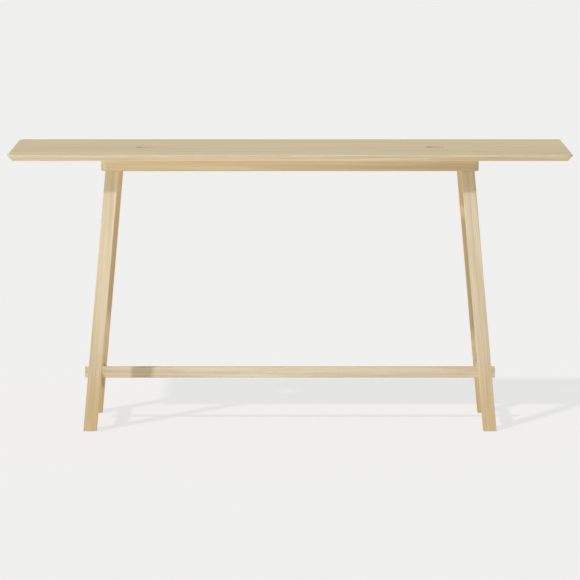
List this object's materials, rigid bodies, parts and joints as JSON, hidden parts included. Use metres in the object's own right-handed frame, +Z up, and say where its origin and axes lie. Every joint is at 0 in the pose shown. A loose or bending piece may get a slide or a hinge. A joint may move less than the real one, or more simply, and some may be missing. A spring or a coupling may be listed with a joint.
{
  "type": "table",
  "caption": "Long narrow table with an edge-glued timber top, round pass-through holes, and two leaning trestles tied by one low stretcher.",
  "frame": {"origin": "on the floor, under the middle of the top", "axes": "+Z up, +X along the length, front faces -Y"},
  "size_m": [1.8, 0.6, 0.905],
  "materials": {
    "top_wood": "matt clear oil",
    "frame_wood": "matt clear oil",
    "leg_wood": "matt clear oil",
    "button_wood": "planed, bare",
    "glide_nylon": "moulded satin",
    "screw_steel": "zinc plated"
  },
  "bodies": {
    "root": {"top_board_front": "top_wood", "top_board_front_inner": "top_wood", "top_board_centre": "top_wood", "top_board_back_inner": "top_wood", "top_board_back": "top_wood", "front_long_rail": "frame_wood", "back_long_rail": "frame_wood", "left_cross_bearer": "frame_wood", "middle_cross_bearer": "frame_wood", "right_cross_bearer": "frame_wood", "left_cross_rail": "frame_wood", "front_left_leg": "leg_wood", "front_left_foot_glide": "glide_nylon", "back_left_leg": "leg_wood", "back_left_foot_glide": "glide_nylon", "right_cross_rail": "frame_wood", "front_right_leg": "leg_wood", "front_right_foot_glide": "glide_nylon", "back_right_leg": "leg_wood", "back_right_foot_glide": "glide_nylon", "stretcher": "frame_wood", "top_buttons": "button_wood", "button_screws": "screw_steel", "bearer_screws": "screw_steel", "stretcher_screws": "screw_steel"}
  },
  "joints": []
}
